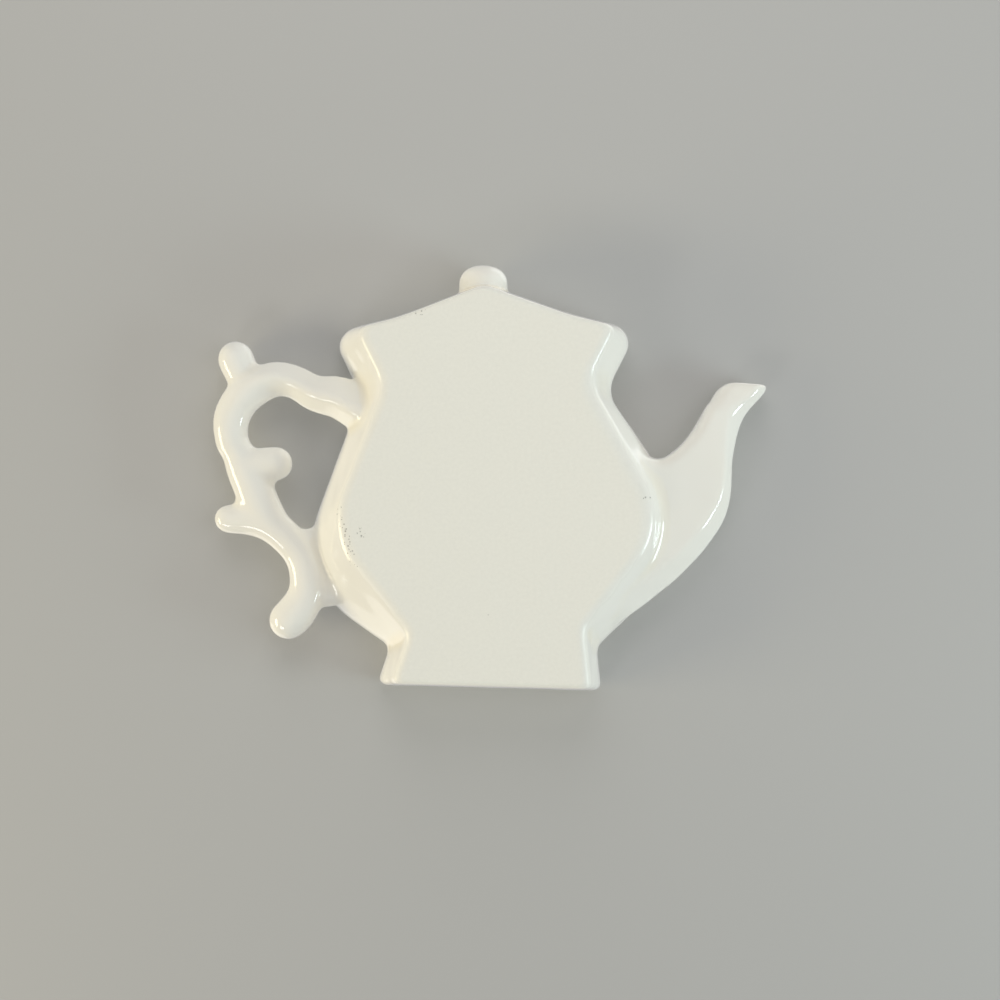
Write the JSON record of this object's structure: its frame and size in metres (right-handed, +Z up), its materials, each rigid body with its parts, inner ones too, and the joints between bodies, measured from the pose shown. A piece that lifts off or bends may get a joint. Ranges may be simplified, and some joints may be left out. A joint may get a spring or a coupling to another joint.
{
  "type": "tea bag rest",
  "caption": "Shallow glazed porcelain dish in the outline of a teapot, with a branch handle, a swan neck spout and a knob, for setting down a wet tea bag.",
  "frame": {"origin": "on the flat base, in the middle of the dish's length from the foot's edge to the lid's ridge", "axes": "+X towards the handle, +Y towards the knob on the lid, +Z up out of the hollow"},
  "size_m": [0.1145, 0.0885, 0.014],
  "materials": {
    "dish_porcelain": "clear gloss glaze on white porcelain, with the flat base ground and left matt",
    "handle_porcelain": "clear gloss glaze on white porcelain",
    "spout_porcelain": "clear gloss glaze on white porcelain",
    "knob_porcelain": "clear gloss glaze on white porcelain"
  },
  "bodies": {
    "root": {"dish_body": "dish_porcelain", "handle": "handle_porcelain", "spout": "spout_porcelain", "lid_knob": "knob_porcelain"}
  },
  "joints": []
}
